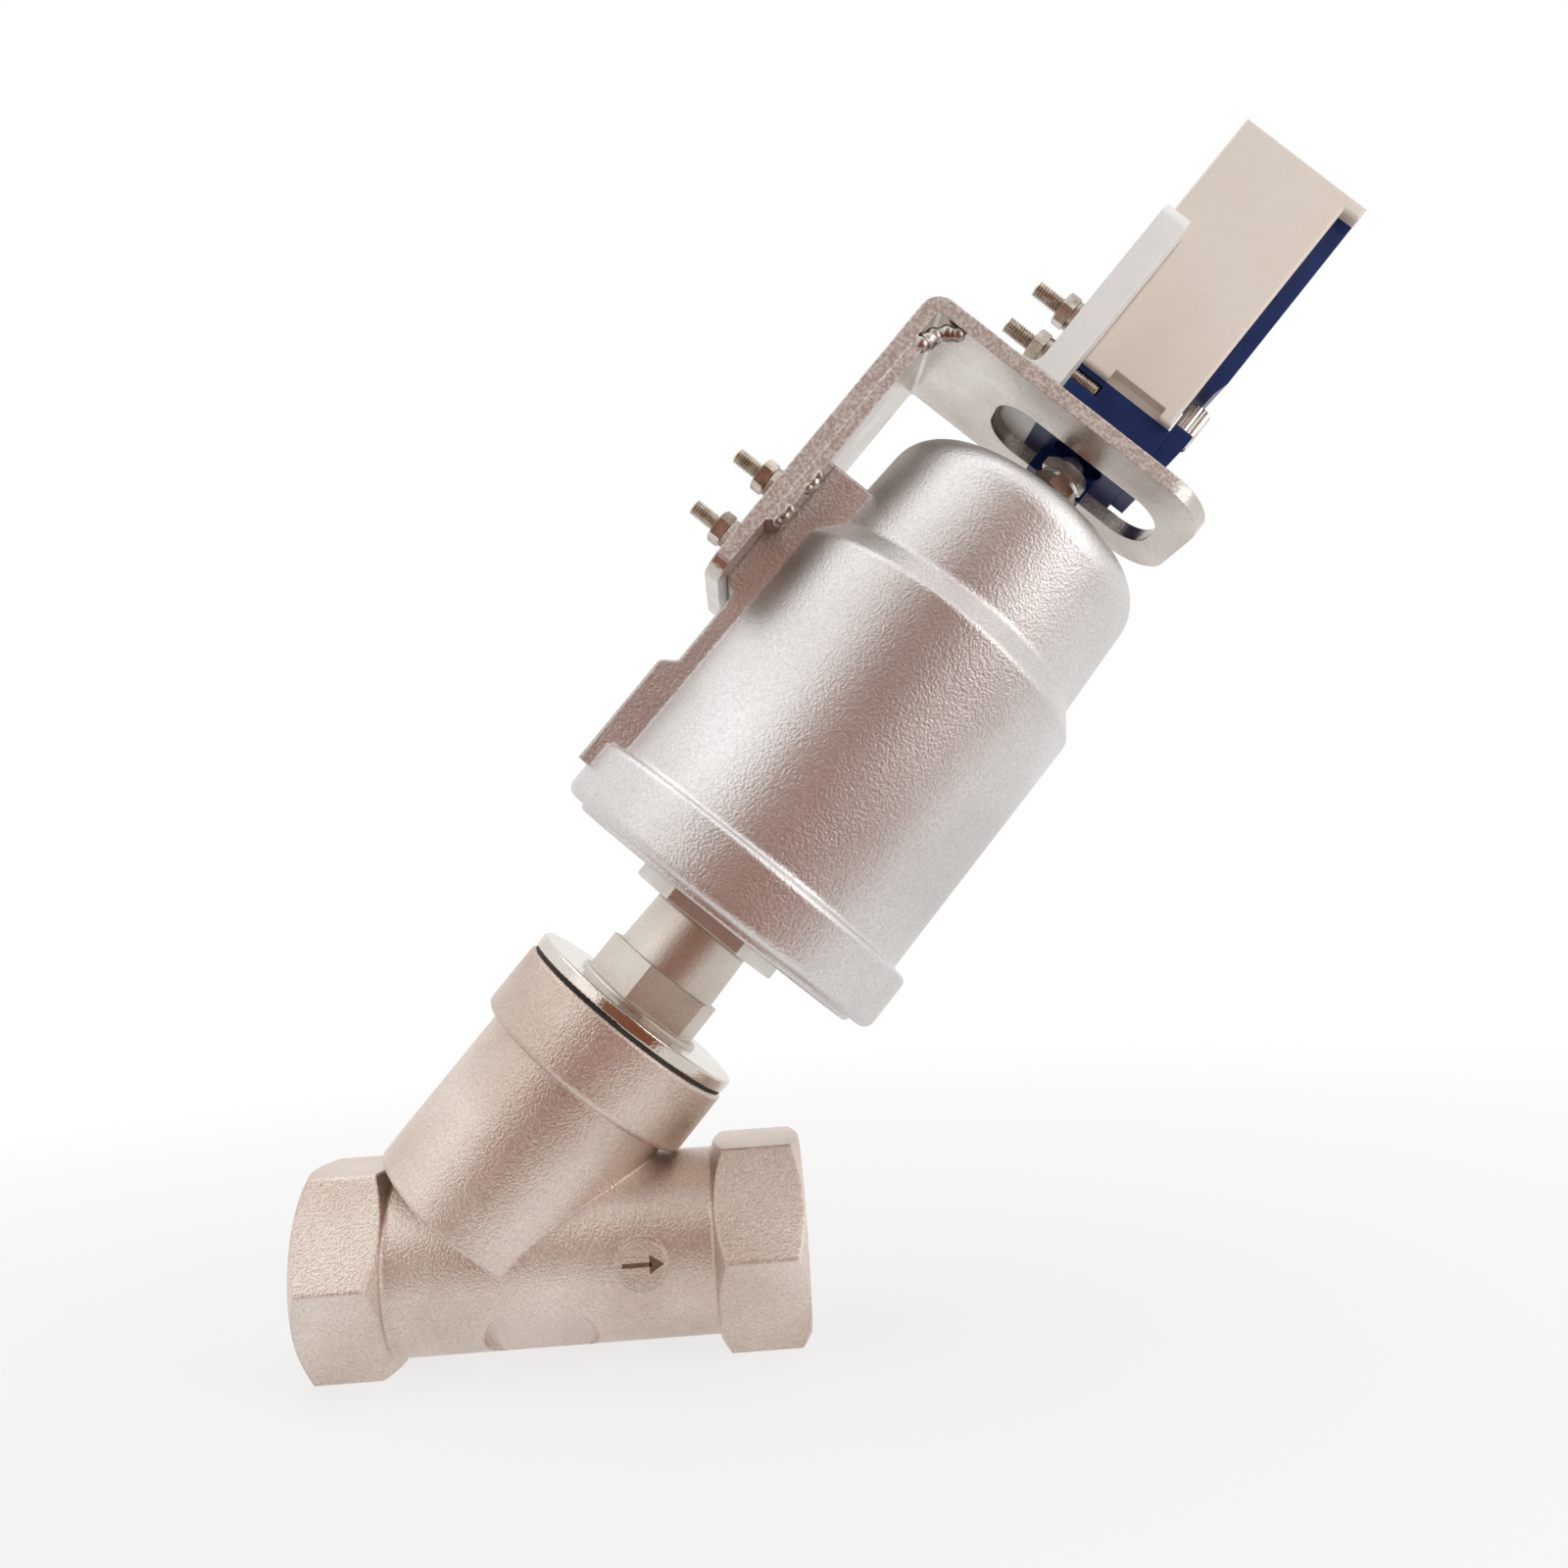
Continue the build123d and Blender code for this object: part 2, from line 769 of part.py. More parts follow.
# Bracket: a leg bolted to the lug and a plate over the dome
plate_top = plate_low + plate_t
leg_out = lug_out + plate_t
bracket_front = bracket_w / 2 + bracket_shift
bracket_back = bracket_w / 2 - bracket_shift
with BuildPart() as l_bracket:
    with BuildSketch(front(bracket_front)):
        with BuildLine():
            FilletPolyline(
                (lug_out, leg_low),
                (leg_out, leg_low),
                (leg_out, plate_top),
                (plate_reach, plate_top),
                (plate_reach, plate_low),
                (lug_out, plate_low),
                radius=[0, 0, bend_r + plate_t, 0, 0, bend_r],
                close=True,
            )
        make_face()
    extrude(amount=bracket_w)
    leg_edges = l_bracket.edges().filter_by(across_axis).group_by(stem_axis)[0]
    fillet(leg_edges, leg_corner_r)
    far_edges = l_bracket.edges().filter_by(stem_axis).group_by(across_axis)[0]
    fillet(far_edges, plate_corner_r)
    with BuildSketch(station(plate_low)):
        with Locations(((slot_in + slot_out) / 2, 0)):
            RectangleRounded(slot_in - slot_out, slot_w, slot_corner_r)
    extrude(amount=plate_t, mode=Mode.SUBTRACT)
    with BuildSketch(facing(lug_out)):
        with Locations((pad_stud_s, 0), (pad_stud_s + pad_stud_pitch, 0)):
            Circle(m4_r + 4 * fit_gap)
    extrude(amount=plate_t, mode=Mode.SUBTRACT)

# Brace welded inside the front edge of the leg
with BuildPart() as brace_bar:
    with BuildSketch(front(bracket_front)):
        with BuildLine():
            Polyline(
                (lug_out, brace_low),
                (lug_out, brace_top),
                (lug_out - brace_t, brace_top),
                (lug_out - brace_t, brace_low + brace_slope),
                close=True,
            )
        make_face()
    extrude(amount=brace_w)

# Upright that carries the switch, with its weld at the foot
with BuildPart() as upright_tab:
    with BuildSketch(facing(upright_u)):
        with BuildLine():
            FilletPolyline(
                (plate_top, -bracket_front),
                (upright_top, -bracket_front),
                (upright_top, upright_w - bracket_front),
                (plate_top, upright_w - bracket_front),
                radius=[0, upright_corner_r, upright_corner_r, 0],
                close=True,
            )
        make_face()
    extrude(amount=upright_t)
    with BuildSketch(front(bracket_front)):
        with BuildLine():
            foot_u = upright_u + upright_t
            Line((foot_u, plate_top), (foot_u + weld_size, plate_top))
            RadiusArc((foot_u + weld_size, plate_top), (foot_u, plate_top + weld_size), weld_size)
            Line((foot_u, plate_top + weld_size), (foot_u, plate_top))
        make_face()
    extrude(amount=upright_w)
    with BuildSketch(facing(upright_u)):
        with Locations((tab_stud_s, -tab_stud_w), (tab_stud_s + tab_stud_pitch, -tab_stud_w)):
            Circle(m4_r + 2 * fit_gap)
    extrude(amount=upright_t, mode=Mode.SUBTRACT)


def stud_set(places, seat, end, depth, locknut):
    """Studs with flat washers, spring washers and nuts, all in rows on one face."""
    washer_out = seat + m4_washer_t
    lock_out = washer_out + m4_lock_t
    nut_out = lock_out + m4_nut_t * (2 if locknut else 1)
    with BuildPart() as studs:
        with BuildSketch(facing(seat - depth)):
            with Locations(*places):
                Circle(m4_r)
        extrude(amount=end - seat + depth)
        chamfer(studs.faces().sort_by(across_axis)[-len(places):].edges(), 0.5)
    with BuildPart() as washers:
        with BuildSketch(facing(seat)):
            with Locations(*places):
                Circle(m4_washer_r)
                Circle(m4_r + fit_gap, mode=Mode.SUBTRACT)
        extrude(amount=m4_washer_t)
    with BuildPart() as locks:
        with BuildSketch(facing(washer_out)):
            with Locations(*places):
                Circle(m4_lock_r)
                Circle(m4_r + fit_gap, mode=Mode.SUBTRACT)
        extrude(amount=m4_lock_t)
    with BuildPart() as nuts:
        for nut_number in range(2 if locknut else 1):
            with BuildSketch(facing(lock_out + nut_number * m4_nut_t)):
                with Locations(*places):
                    RegularPolygon(m4_nut_af / 2, 6, major_radius=False, rotation=20 + 25 * nut_number)
                    Circle(m4_r + fit_gap, mode=Mode.SUBTRACT)
            extrude(amount=m4_nut_t)
    return studs.part, washers.part, locks.part, nuts.part


pad_places = [(pad_stud_s, 0), (pad_stud_s + pad_stud_pitch, 0)]
pad_studs, pad_washers, pad_spring_washers, pad_nuts = stud_set(
    pad_places, leg_out, pad_stud_end, plate_t + pad_stud_depth, True
)
tab_places = [(tab_stud_s, -tab_stud_w), (tab_stud_s + tab_stud_pitch, -tab_stud_w)]
tab_bolts, tab_washers, tab_spring_washers, tab_nuts = stud_set(
    tab_places, upright_u + upright_t, tab_stud_end, upright_t + tab_stud_depth, False
)

# Switch: a folded metal can on a moulded base
with BuildPart() as switch_can:
    with BuildSketch(front(can_half_w)):
        with BuildLine():
            Polyline(
                (upright_u, can_low),
                (upright_u, can_step),
                (can_head_out, can_step),
                (can_head_out, can_top),
                (can_in - can_side_t, can_top),
                (can_in - can_side_t, can_side_low),
                (can_in, can_side_low),
                (can_in, can_low),
                close=True,
            )
        make_face()
    extrude(amount=2 * can_half_w)
    front_edges = switch_can.faces().sort_by(Axis.Y)[0].edges()
    fillet(front_edges, can_edge_r)
    with BuildSketch(front(can_half_w)):
        with Locations((can_notch_u, can_low + can_notch_h / 2)):
            Rectangle(can_notch_w, can_notch_h)
    extrude(amount=can_notch_d, mode=Mode.SUBTRACT)
    with BuildSketch(facing(upright_u)):
        with Locations((tab_stud_s + tab_stud_pitch, -tab_stud_w)):
            Circle(m4_r + fit_gap)
    extrude(amount=-tab_stud_depth, mode=Mode.SUBTRACT)

with BuildPart() as switch_base:
    with BuildSketch(station(plate_top)):
        with Locations(((upright_u + base_in) / 2, (base_front - base_back) / 2)):
            Rectangle(upright_u - base_in, base_front + base_back)
    extrude(amount=can_low - plate_top)
    with BuildSketch(station(prong_low)):
        with Locations((near_prong + near_prong_w / 2, -(prong_front + prong_back) / 2)):
            Rectangle(near_prong_w, prong_back - prong_front)
        with Locations((far_prong - far_prong_w / 2, -(prong_front + prong_back) / 2)):
            Rectangle(far_prong_w, prong_back - prong_front)
    extrude(amount=plate_top - prong_low)
    with BuildSketch(station(plate_top)):
        Circle(well_r)
        with Locations((prong_gap_mid, -prong_back / 2)):
            Rectangle(near_prong - far_prong, prong_back)
    extrude(amount=well_top - plate_top, mode=Mode.SUBTRACT)
    with BuildSketch(facing(upright_u)):
        with Locations((tab_stud_s, -tab_stud_w)):
            Circle(m4_r + fit_gap)
    extrude(amount=-tab_stud_depth, mode=Mode.SUBTRACT)

# Side arm of the switch, its knurled screw and its foot
arm_out = can_in - arm_t
with BuildPart() as side_arm:
    with BuildSketch(front(arm_half_w)):
        with BuildLine():
            Polyline(
                (can_in, arm_low),
                (can_in, can_side_low),
                (arm_out, can_side_low),
                (arm_out, arm_low + arm_heel),
                (arm_out + 1.0, arm_low),
                close=True,
            )
        make_face()
    extrude(amount=2 * arm_half_w)

screw_u = can_in - screw_r - 0.6
with BuildPart() as adjusting_screw:
    with BuildSketch(station(screw_low)):
        with Locations((screw_u, 0)):
            Circle(screw_r)
    extrude(amount=screw_len)

with BuildPart() as arm_foot:
    with BuildSketch(front(arm_half_w)):
        with BuildLine():
            Polyline(
                (base_in, plate_top),
                (base_in, screw_low),
                (base_in - foot_t, screw_low),
                (base_in - foot_t, screw_low - 3.0),
                (base_in - foot_t + 1.2, plate_top),
                close=True,
            )
        make_face()
    extrude(amount=2 * arm_half_w)

clamp_y = base_front + clamp_screw_r + clamp_screw_gap
clamp_places = [(upright_u - clamp_screw_r - clamp_screw_gap, clamp_y), (base_in + clamp_screw_r, clamp_y)]
with BuildPart() as base_screws:
    with BuildSketch(station(plate_top)):
        with Locations(*clamp_places):
            Circle(clamp_screw_r)
    extrude(amount=clamp_screw_h)
    fillet(base_screws.edges().group_by(stem_axis)[-1], clamp_screw_h / 2)

# Names and files
os.makedirs("parts", exist_ok=True)
pieces = {
    "valve_body": valve_body.part,
    "bonnet_gasket": bonnet_gasket,
    "bonnet": bonnet.part,
    "guide_bush": guide_bush,
    "packing_spring": packing_spring,
    "packing_follower": packing_follower,
    "packing_rings": packing_rings,
    "gland_bush": gland_bush,
    "lock_nut": lock_nut.part,
    "base_plate": base_plate,
    "base_o_ring": base_o_ring,
    "stem_seal": stem_seal,
    "actuator_housing": actuator_housing.part,
    "rod_bush": rod_bush,
    "rod_seal": rod_seal,
    "stem": stem,
    "plug_holder": plug_holder,
    "seat_disc": seat_disc,
    "plug_washer": plug_washer,
    "plug_nut": plug_nut.part,
    "piston": piston,
    "stem_o_ring": stem_o_ring,
    "piston_seal": piston_seal,
    "piston_guide_band": piston_guide_band,
    "piston_nut": piston_nut.part,
    "main_spring_outer": main_spring_outer,
    "main_spring_inner": main_spring_inner,
    "indicator_rod": indicator_rod,
    "trip_nuts": trip_nuts.part,
    "trip_flag": trip_flag.part,
    "l_bracket": l_bracket.part,
    "brace_bar": brace_bar.part,
    "upright_tab": upright_tab.part,
    "pad_studs": pad_studs,
    "pad_washers": pad_washers,
    "pad_spring_washers": pad_spring_washers,
    "pad_nuts": pad_nuts,
    "tab_bolts": tab_bolts,
    "tab_washers": tab_washers,
    "tab_spring_washers": tab_spring_washers,
    "tab_nuts": tab_nuts,
    "switch_can": switch_can.part,
    "switch_base": switch_base.part,
    "side_arm": side_arm.part,
    "adjusting_screw": adjusting_screw.part,
    "arm_foot": arm_foot.part,
    "base_screws": base_screws.part,
}
for node, piece in pieces.items():
    piece.label = node
    export_step(piece, f"parts/{node}.step")
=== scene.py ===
import bpy
import json
from math import atan2, cos, pi, radians, sin
from mathutils import Matrix, Vector


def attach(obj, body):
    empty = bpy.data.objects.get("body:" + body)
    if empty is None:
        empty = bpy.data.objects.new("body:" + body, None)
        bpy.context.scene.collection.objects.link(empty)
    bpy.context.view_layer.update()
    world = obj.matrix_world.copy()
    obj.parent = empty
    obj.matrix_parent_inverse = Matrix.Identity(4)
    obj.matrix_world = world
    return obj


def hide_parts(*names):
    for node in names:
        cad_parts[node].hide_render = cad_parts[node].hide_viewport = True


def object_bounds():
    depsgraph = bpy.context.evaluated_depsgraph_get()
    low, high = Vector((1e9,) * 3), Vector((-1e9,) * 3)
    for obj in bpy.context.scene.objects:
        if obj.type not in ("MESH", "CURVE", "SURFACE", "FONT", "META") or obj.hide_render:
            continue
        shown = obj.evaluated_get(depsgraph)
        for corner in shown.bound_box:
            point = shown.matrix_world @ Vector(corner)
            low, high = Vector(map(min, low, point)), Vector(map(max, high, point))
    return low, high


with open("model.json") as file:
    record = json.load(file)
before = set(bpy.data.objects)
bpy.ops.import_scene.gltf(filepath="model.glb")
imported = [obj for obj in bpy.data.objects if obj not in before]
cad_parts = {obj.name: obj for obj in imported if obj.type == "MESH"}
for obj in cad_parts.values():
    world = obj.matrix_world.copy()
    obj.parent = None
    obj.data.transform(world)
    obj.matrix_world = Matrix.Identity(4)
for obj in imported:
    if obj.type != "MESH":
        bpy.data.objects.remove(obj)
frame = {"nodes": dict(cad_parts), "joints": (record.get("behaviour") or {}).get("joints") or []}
cad_low, cad_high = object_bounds()

# The camera stands in front of the valve, a little to the right of its middle, and looks slightly up.
# It is held with a small tilt to the left, and its lens takes in the whole valve with a wide margin.
camera_place = Vector((0.093774, -0.294111, 0.068937))
yaw, pitch, roll = radians(-2.185), radians(5.329), radians(-3.798)
forward = Vector((-sin(yaw) * cos(pitch), cos(yaw) * cos(pitch), sin(pitch)))
level = Vector((cos(yaw), sin(yaw), 0))
above = level.cross(forward)
right = cos(roll) * level + sin(roll) * above
upward = -sin(roll) * level + cos(roll) * above
camera_data = bpy.data.cameras.new("photo_camera")
camera_data.lens = 30.68
camera_data.sensor_width = 36
camera_data.clip_start = 0.01
camera = bpy.data.objects.new("photo_camera", camera_data)
turn = Matrix((right, upward, -forward)).transposed()
camera.matrix_world = Matrix.Translation(camera_place) @ turn.to_4x4()
bpy.context.collection.objects.link(camera)
bpy.context.scene.camera = camera
bpy.context.scene.view_settings.view_transform = "Standard"

# The studio: a pale floor under the valve, a white surround, and soft lamps above and to the sides.
# The floor keeps the valve's shadow near its foot and turns as white as the surround further out.
def seen_by_eye_or_mirror(tree):
    """One for a ray from the camera, off a mirror or through glass, and nought for the light on a surface."""
    paths = tree.nodes.new("ShaderNodeLightPath")
    seen = tree.nodes.new("ShaderNodeMath")
    seen.operation = "MAXIMUM"
    tree.links.new(paths.outputs["Is Camera Ray"], seen.inputs[0])
    tree.links.new(paths.outputs["Is Glossy Ray"], seen.inputs[1])
    through = tree.nodes.new("ShaderNodeMath")
    through.operation = "MAXIMUM"
    tree.links.new(seen.outputs[0], through.inputs[0])
    tree.links.new(paths.outputs["Is Transmission Ray"], through.inputs[1])
    return through.outputs[0]


bpy.ops.object.select_all(action="DESELECT")
bpy.ops.mesh.primitive_plane_add(size=12, location=(0, 0, 0))
floor = bpy.context.object
floor.name = "studio_floor"
floor_middle = (0.06, 0.0, cad_low[2])
floor.data.transform(Matrix.Translation(floor_middle))
floor_paint = bpy.data.materials.new("studio_floor")
floor_paint.use_nodes = True
tree = floor_paint.node_tree
tree.nodes["Principled BSDF"].inputs["Base Color"].default_value = (0.9, 0.9, 0.9, 1)
tree.nodes["Principled BSDF"].inputs["Roughness"].default_value = 0.9
coordinates = tree.nodes.new("ShaderNodeTexCoord")
centre = tree.nodes.new("ShaderNodeVectorMath")
centre.operation = "DISTANCE"
centre.inputs[1].default_value = floor_middle
tree.links.new(coordinates.outputs["Object"], centre.inputs[0])
fade = tree.nodes.new("ShaderNodeMapRange")
fade.inputs["From Min"].default_value = 0.10
fade.inputs["From Max"].default_value = 0.55
fade.inputs["To Min"].default_value = 0.72
fade.inputs["To Max"].default_value = 1.0
tree.links.new(centre.outputs["Value"], fade.inputs["Value"])
glow = tree.nodes.new("ShaderNodeEmission")
glow.inputs["Strength"].default_value = 1.0
seen = seen_by_eye_or_mirror(tree)
share = tree.nodes.new("ShaderNodeMath")
share.operation = "MULTIPLY"
tree.links.new(seen, share.inputs[0])
tree.links.new(fade.outputs["Result"], share.inputs[1])
blend = tree.nodes.new("ShaderNodeMixShader")
tree.links.new(share.outputs[0], blend.inputs[0])
tree.links.new(tree.nodes["Principled BSDF"].outputs[0], blend.inputs[1])
tree.links.new(glow.outputs[0], blend.inputs[2])
tree.links.new(blend.outputs[0], tree.nodes["Material Output"].inputs["Surface"])
floor.data.materials.append(floor_paint)

surround = bpy.data.worlds.new("white_surround")
bpy.context.scene.world = surround
surround.use_nodes = True
tree = surround.node_tree
room = tree.nodes["Background"]
room.inputs["Color"].default_value = (0.92, 0.89, 0.87, 1)
room.inputs["Strength"].default_value = 0.6
white = tree.nodes.new("ShaderNodeBackground")
white.inputs["Color"].default_value = (1, 1, 1, 1)
white.inputs["Strength"].default_value = 1.0
blend = tree.nodes.new("ShaderNodeMixShader")
tree.links.new(seen_by_eye_or_mirror(tree), blend.inputs[0])
tree.links.new(room.outputs[0], blend.inputs[1])
tree.links.new(white.outputs[0], blend.inputs[2])
tree.links.new(blend.outputs[0], tree.nodes["World Output"].inputs["Surface"])

lamps_aim = Vector((0.1, 0, 0.1))
for name, place, size, power, tint in (
    ("left_softbox", (-0.45, -0.55, 0.55), (0.5, 0.7), 0.36, (1.0, 0.99, 0.98)),
    ("right_softbox", (0.75, -0.45, 0.30), (0.35, 0.6), 1.25, (0.97, 0.98, 1.0)),
    ("top_softbox", (0.1, 0.05, 0.9), (0.8, 0.6), 1.3, (1.0, 1.0, 1.0)),
):
    lamp_data = bpy.data.lights.new(name, "AREA")
    lamp_data.shape = "RECTANGLE"
    lamp_data.size, lamp_data.size_y = size
    lamp_data.energy = power
    lamp_data.color = tint
    lamp = bpy.data.objects.new(name, lamp_data)
    lamp.location = place
    lamp.rotation_euler = (lamps_aim - Vector(place)).to_track_quat("-Z", "Y").to_euler()
    bpy.context.collection.objects.link(lamp)

# Two warm dark cards in front of the valve darken what faces them, as a dim room does. Only metal shows them.
# The tall one stands behind the camera and leans as the stem does, and the low one lies on the floor.
stem_lean = radians(42)
leaning = (
    Vector((cos(stem_lean), 0, -sin(stem_lean))),
    Vector((sin(stem_lean), 0, cos(stem_lean))),
    Vector((0, -1, 0)),
)
lying = (Vector((1, 0, 0)), Vector((0, 1, 0)), Vector((0, 0, 1)))
for name, place, (aside, along, facing), width, length, tint in (
    ("tall_card", (0.015, -0.62, 0.10), leaning, 0.58, 1.5, (0.29, 0.14, 0.09)),
    ("low_card", (0.05, -0.47, -0.018), lying, 0.9, 0.7, (0.30, 0.12, 0.07)),
):
    bpy.ops.object.select_all(action="DESELECT")
    bpy.ops.mesh.primitive_plane_add(size=1, location=(0, 0, 0))
    card = bpy.context.object
    card.name = name
    spread = Matrix((aside * width, along * length, facing)).transposed().to_4x4()
    card.data.transform(Matrix.Translation(place) @ spread)
    card.visible_camera = False
    card.visible_diffuse = False
    card.visible_shadow = False
    card_paint = bpy.data.materials.new(name)
    card_paint.use_nodes = True
    tree = card_paint.node_tree
    shade = tree.nodes.new("ShaderNodeEmission")
    shade.inputs["Color"].default_value = (*tint, 1)
    tree.links.new(shade.outputs[0], tree.nodes["Material Output"].inputs["Surface"])
    card.data.materials.append(card_paint)


# Valve body: one stainless casting with hexagon pipe ends, bead blasted after casting.
# The blasting leaves a satin skin with a fine grain, and every cast corner is a little round.
def add_grain(tree, shader, coordinates, scale, depth, strength, edge_r, detail=2.0):
    """A fine bump on softened edges. Its noise comes back for the colour to follow."""
    noise = tree.nodes.new("ShaderNodeTexNoise")
    noise.inputs["Scale"].default_value = scale
    noise.inputs["Detail"].default_value = detail
    tree.links.new(coordinates.outputs["Object"], noise.inputs["Vector"])
    soft_edge = tree.nodes.new("ShaderNodeBevel")
    soft_edge.samples = 6
    soft_edge.inputs["Radius"].default_value = edge_r
    bump = tree.nodes.new("ShaderNodeBump")
    bump.inputs["Strength"].default_value = strength
    bump.inputs["Distance"].default_value = depth
    tree.links.new(soft_edge.outputs["Normal"], bump.inputs["Normal"])
    tree.links.new(noise.outputs["Fac"], bump.inputs["Height"])
    tree.links.new(bump.outputs["Normal"], shader.inputs["Normal"])
    return noise


def add_tints(tree, shader, coordinates, noise, cloud, dark, light, speckle):
    """Slow clouds between two tints, with the grain's own small specks multiplied in."""
    clouds = tree.nodes.new("ShaderNodeTexNoise")
    clouds.inputs["Scale"].default_value = cloud
    clouds.inputs["Detail"].default_value = 4
    tree.links.new(coordinates.outputs["Object"], clouds.inputs["Vector"])
    ramp = tree.nodes.new("ShaderNodeValToRGB")
    ramp.color_ramp.elements[0].position = 0.35
    ramp.color_ramp.elements[1].position = 0.65
    ramp.color_ramp.elements[0].color = (*dark, 1)
    ramp.color_ramp.elements[1].color = (*light, 1)
    tree.links.new(clouds.outputs["Fac"], ramp.inputs["Fac"])
    specks = tree.nodes.new("ShaderNodeMapRange")
    specks.inputs["From Min"].default_value = 0.3
    specks.inputs["From Max"].default_value = 0.7
    specks.inputs["To Min"].default_value = 1 - speckle
    specks.inputs["To Max"].default_value = 1
    tree.links.new(noise.outputs["Fac"], specks.inputs["Value"])
    blend = tree.nodes.new("ShaderNodeMix")
    blend.data_type = "RGBA"
    blend.blend_type = "MULTIPLY"
    blend.inputs[0].default_value = 1.0
    tree.links.new(ramp.outputs["Color"], blend.inputs["A"])
    tree.links.new(specks.outputs["Result"], blend.inputs["B"])
    tree.links.new(blend.outputs["Result"], shader.inputs["Base Color"])


def finish(name, roughness, grain, cloud, dark, light, speckle=0.12, metallic=1.0):
    """A finish with clouds of two tints and a grain: its scale, depth, strength, edge radius and detail."""
    material = bpy.data.materials.new(name)
    material.use_nodes = True
    tree = material.node_tree
    shader = tree.nodes["Principled BSDF"]
    shader.inputs["Metallic"].default_value = metallic
    shader.inputs["Roughness"].default_value = roughness
    coordinates = tree.nodes.new("ShaderNodeTexCoord")
    noise = add_grain(tree, shader, coordinates, *grain)
    add_tints(tree, shader, coordinates, noise, cloud, dark, light, speckle)
    return material


def dress(material, *names):
    for name in names:
        piece = frame["nodes"][name]
        piece.data.materials.clear()
        piece.data.materials.append(material)


body_cast = finish(
    "warm_blasted_casting", 0.42, grain=(2000, 0.00026, 0.75, 0.0010),
    cloud=26, dark=(0.68, 0.545, 0.465), light=(0.89, 0.78, 0.70), speckle=0.24,
)
dress(body_cast, "valve_body")

# Pipe threads: both ports are tapped, and the thread shows as bright rings inside each mouth.
# Each is a thin sleeve against the bore's wall, with its crests turned inward.
def stand(piece, foot, way, turn=0.0):
    """Moves a piece's own mesh from the origin, where it stands along Z, to its foot along its way."""
    piece.data.transform(Matrix.Rotation(radians(turn), 4, "Z"))
    piece.data.transform(way.to_track_quat("Z", "Y").to_matrix().to_4x4())
    piece.data.transform(Matrix.Translation(foot))


def cut_with(piece, tool, operation):
    """Cuts a piece by a second one, which is used up."""
    trim = piece.modifiers.new("trim", "BOOLEAN")
    trim.operation = operation
    trim.object = tool
    trim.solver = "EXACT"
    bpy.context.view_layer.objects.active = piece
    bpy.ops.object.modifier_apply(modifier="trim")
    bpy.data.objects.remove(tool)


def threaded_rod(name, length, crest_r, root_r, pitch, sides, root_rings=0):
    """A rod with a crest and a root for every turn of its thread, standing on the origin."""
    bpy.ops.object.select_all(action="DESELECT")
    bpy.ops.mesh.primitive_cylinder_add(vertices=sides, radius=crest_r, depth=length, location=(0, 0, 0))
    rod = bpy.context.object
    rod.name = name
    turns = int(length / pitch)
    for edge in rod.data.edges:
        ends = [rod.data.vertices[i].co for i in edge.vertices]
        edge.select = abs(ends[0].z - ends[1].z) > length / 2
    for face in rod.data.polygons:
        face.select = False
    for point in rod.data.vertices:
        point.select = False
    bpy.context.tool_settings.mesh_select_mode = (False, True, False)
    bpy.ops.object.mode_set(mode="EDIT")
    bpy.ops.mesh.subdivide(number_cuts=2 * turns - 1)
    bpy.ops.mesh.select_all(action="DESELECT")
    bpy.ops.object.mode_set(mode="OBJECT")
    bpy.context.tool_settings.mesh_select_mode = (True, False, False)
    step = length / (2 * turns)
    for point in rod.data.vertices:
        ring = round((point.co.z + length / 2) / step)
        point.select = ring % 2 == root_rings
    bpy.ops.object.mode_set(mode="EDIT")
    bpy.ops.transform.resize(value=(root_r / crest_r, root_r / crest_r, 1))
    bpy.ops.object.mode_set(mode="OBJECT")
    rod.data.transform(Matrix.Translation((0, 0, length / 2)))
    return rod


def tapped_thread(name, foot, way, wall_r, bore_r, pitch, length):
    """A thin sleeve just inside a bore's wall, with the thread that was tapped into it."""
    sides = 64
    end_gap = 0.0001
    core = threaded_rod(name + "_core", length, bore_r - 0.00002, bore_r - pitch * 0.27, pitch, sides, 1)
    core.data.transform(Matrix.Translation((0, 0, -end_gap)))
    bpy.ops.object.select_all(action="DESELECT")
    bpy.ops.mesh.primitive_cylinder_add(
        vertices=sides, radius=wall_r, depth=length - 2 * end_gap, location=(0, 0, length / 2 - end_gap)
    )
    sleeve = bpy.context.object
    sleeve.name = name
    bpy.ops.object.transform_apply(location=True, rotation=True, scale=True)
    cut_with(sleeve, core, "DIFFERENCE")
    bpy.ops.object.select_all(action="DESELECT")
    sleeve.select_set(True)
    bpy.context.view_layer.objects.active = sleeve
    bpy.ops.object.shade_smooth_by_angle(angle=radians(25))
    stand(sleeve, foot, way)
    sleeve.data.materials.append(tapped_steel)
    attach(sleeve, "valve")


tapped_steel = finish(
    "tapped_steel", 0.24, grain=(1800, 0.00005, 0.4, 0.0001),
    cloud=90, dark=(0.62, 0.55, 0.49), light=(0.78, 0.73, 0.68), speckle=0.15,
)
face_to_face = 0.103
thread_in = 0.0007
pipe_wall_r, pipe_bore_r, pipe_pitch, pipe_thread_len = 0.0155, 0.01515, 0.002309, 0.01616
for name, mouth, way in (
    ("inlet_thread", thread_in, Vector((1, 0, 0))),
    ("outlet_thread", face_to_face - thread_in, Vector((-1, 0, 0))),
):
    tapped_thread(name, Vector((mouth, 0, 0)), way, pipe_wall_r, pipe_bore_r, pipe_pitch, pipe_thread_len)

# Flow arrow: a brown mark on the small round boss of the casting, printed and a hair proud.
# It points the way of the flow, from the inlet to the outlet.
boss_front = -0.0197
arrow_x, arrow_z = 0.0698, 0.0004
mark_thick = 0.00008


